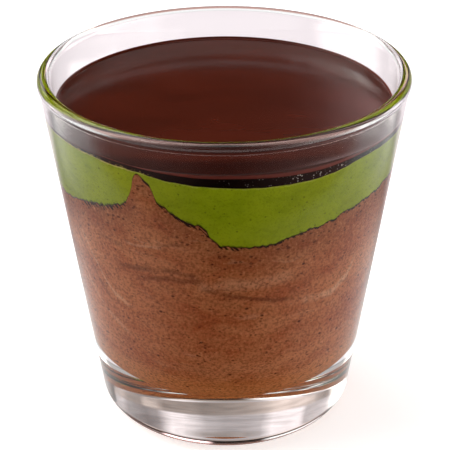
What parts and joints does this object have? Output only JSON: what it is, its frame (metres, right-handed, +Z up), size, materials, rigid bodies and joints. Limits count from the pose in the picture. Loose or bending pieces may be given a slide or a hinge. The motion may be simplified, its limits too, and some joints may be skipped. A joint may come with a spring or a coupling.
{
  "type": "glass cup of dubai chocolate dessert",
  "caption": "Thick-based clear glass tumbler filled with chocolate mousse, pistachio cream and a glossy dark chocolate glaze.",
  "frame": {"origin": "centre of the underside of the foot, on the surface that the cup stands on", "axes": "+Z up along the cup's axis, -Y towards the side that the picture shows, +X to the right of it"},
  "size_m": [0.0766, 0.0766, 0.0767],
  "materials": {
    "clear_glass": "clear polished glass",
    "mousse": "soft mousse with fine pores, pressed flat against glass",
    "pistachio": "smooth dense nut cream",
    "glaze": "glossy set dark chocolate"
  },
  "bodies": {
    "root": {"glass_tumbler": "clear_glass", "chocolate_mousse": "mousse", "pistachio_cream": "pistachio", "chocolate_glaze": "glaze"}
  },
  "joints": []
}
